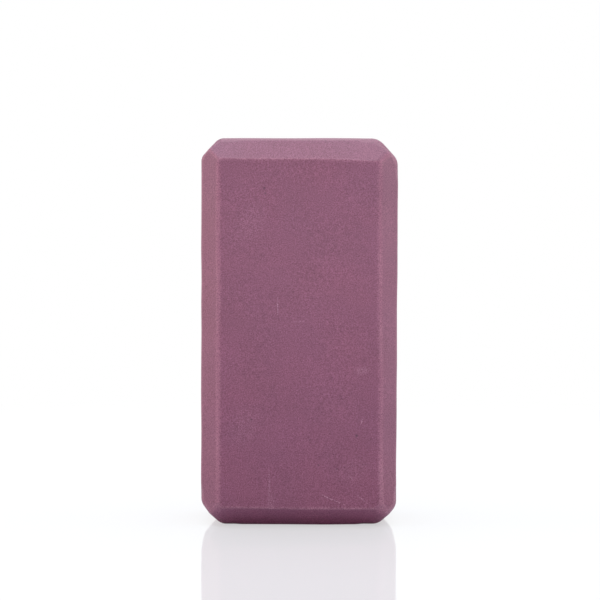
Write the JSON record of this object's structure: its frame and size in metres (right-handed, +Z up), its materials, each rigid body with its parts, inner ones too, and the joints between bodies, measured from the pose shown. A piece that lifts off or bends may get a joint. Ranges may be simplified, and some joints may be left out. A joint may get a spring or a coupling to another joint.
{
  "type": "yoga block",
  "caption": "Brick-shaped foam yoga block with bevelled edges, made of foam plies cemented face to face, used as a firm support for a hand, foot or hip.",
  "frame": {"origin": "centre of the bottom end that the block stands on", "axes": "+Z up along the block's length, +X across its width, +Y through its thickness from front to rear"},
  "size_m": [0.111, 0.07, 0.219],
  "materials": {
    "foam": "matte, fine-celled plum foam with a cut and sanded surface",
    "cement": "dried contact cement, satin"
  },
  "bodies": {
    "root": {"front_foam_ply": "foam", "rear_foam_ply": "foam", "cement_film": "cement"}
  },
  "joints": []
}
